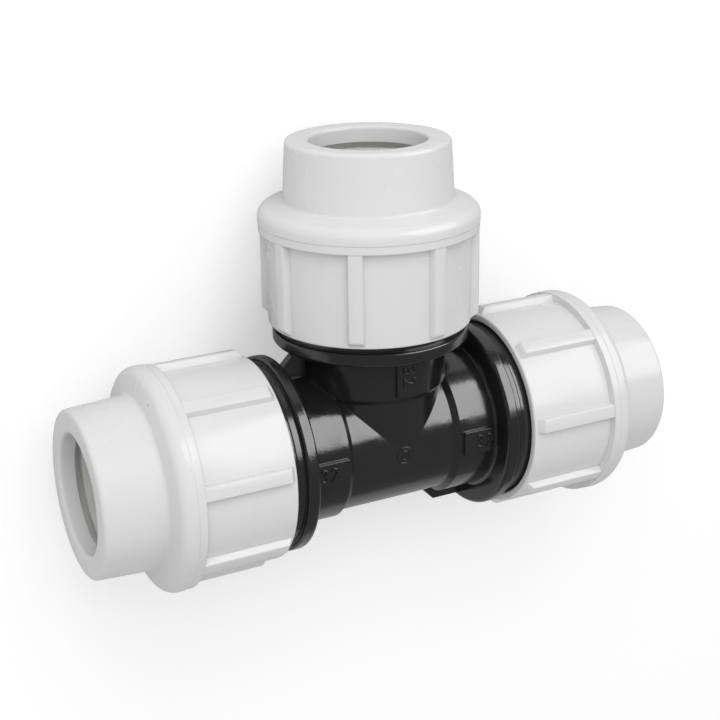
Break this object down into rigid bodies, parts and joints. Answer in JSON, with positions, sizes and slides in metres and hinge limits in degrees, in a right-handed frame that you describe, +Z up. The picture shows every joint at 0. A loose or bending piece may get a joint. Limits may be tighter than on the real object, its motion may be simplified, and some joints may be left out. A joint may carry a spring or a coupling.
{
  "type": "pipe tee",
  "caption": "Equal compression tee for plastic water pipe: a black body with threaded ends, and a ribbed light grey screw nut on each port that clamps the pipe.",
  "frame": {"origin": "on the surface that the tee lies on, under the middle of its box", "axes": "the two run ports point along +X and -X, the branch port along +Y, and +Z is up"},
  "size_m": [0.1775, 0.1177, 0.062],
  "materials": {
    "body_plastic": "glossy moulded black",
    "nut_plastic": "glossy moulded light grey",
    "grip_plastic": "smooth white",
    "bush_plastic": "smooth black",
    "seal_rubber": "smooth rubber"
  },
  "bodies": {
    "tee": {"tee_body": "body_plastic", "thrust_bush_left": "bush_plastic", "thrust_bush_right": "bush_plastic", "thrust_bush_branch": "bush_plastic", "seal_ring_left": "seal_rubber", "seal_ring_right": "seal_rubber", "seal_ring_branch": "seal_rubber"},
    "grip_left": {"grip_ring_left": "grip_plastic"},
    "nut_left": {"nut_left": "nut_plastic"},
    "grip_right": {"grip_ring_right": "grip_plastic"},
    "nut_right": {"nut_right": "nut_plastic"},
    "grip_branch": {"grip_ring_branch": "grip_plastic"},
    "nut_branch": {"nut_branch": "nut_plastic"}
  },
  "joints": [
    {"name": "nut_left_travel", "type": "slide", "parent": "tee", "child": "grip_left", "axis": [-1, 0, 0], "range_m": [-0.0016, 0.0151]},
    {"name": "nut_left_turn", "type": "hinge", "parent": "grip_left", "child": "nut_left", "pos_m": [-0.06305, -0.02785, 0.031], "axis": [-1, 0, 0], "range_deg": [-115, 1080]},
    {"name": "nut_right_travel", "type": "slide", "parent": "tee", "child": "grip_right", "axis": [1, 0, 0], "range_m": [-0.0025, 0.0151]},
    {"name": "nut_right_turn", "type": "hinge", "parent": "grip_right", "child": "nut_right", "pos_m": [0.06305, -0.02785, 0.031], "axis": [1, 0, 0], "range_deg": [-180, 1080]},
    {"name": "nut_branch_travel", "type": "slide", "parent": "tee", "child": "grip_branch", "axis": [0, 1, 0], "range_m": [0, 0.0151]},
    {"name": "nut_branch_turn", "type": "hinge", "parent": "grip_branch", "child": "nut_branch", "pos_m": [-0.00045, 0.03315, 0.031], "axis": [0, 1, 0], "range_deg": [0, 1080]}
  ],
  "couplings": [
    {"joint": "nut_left_travel", "follows": "nut_left_turn", "m_per_rad": 0.00079577},
    {"joint": "nut_right_travel", "follows": "nut_right_turn", "m_per_rad": 0.00079577},
    {"joint": "nut_branch_travel", "follows": "nut_branch_turn", "m_per_rad": 0.00079577}
  ]
}
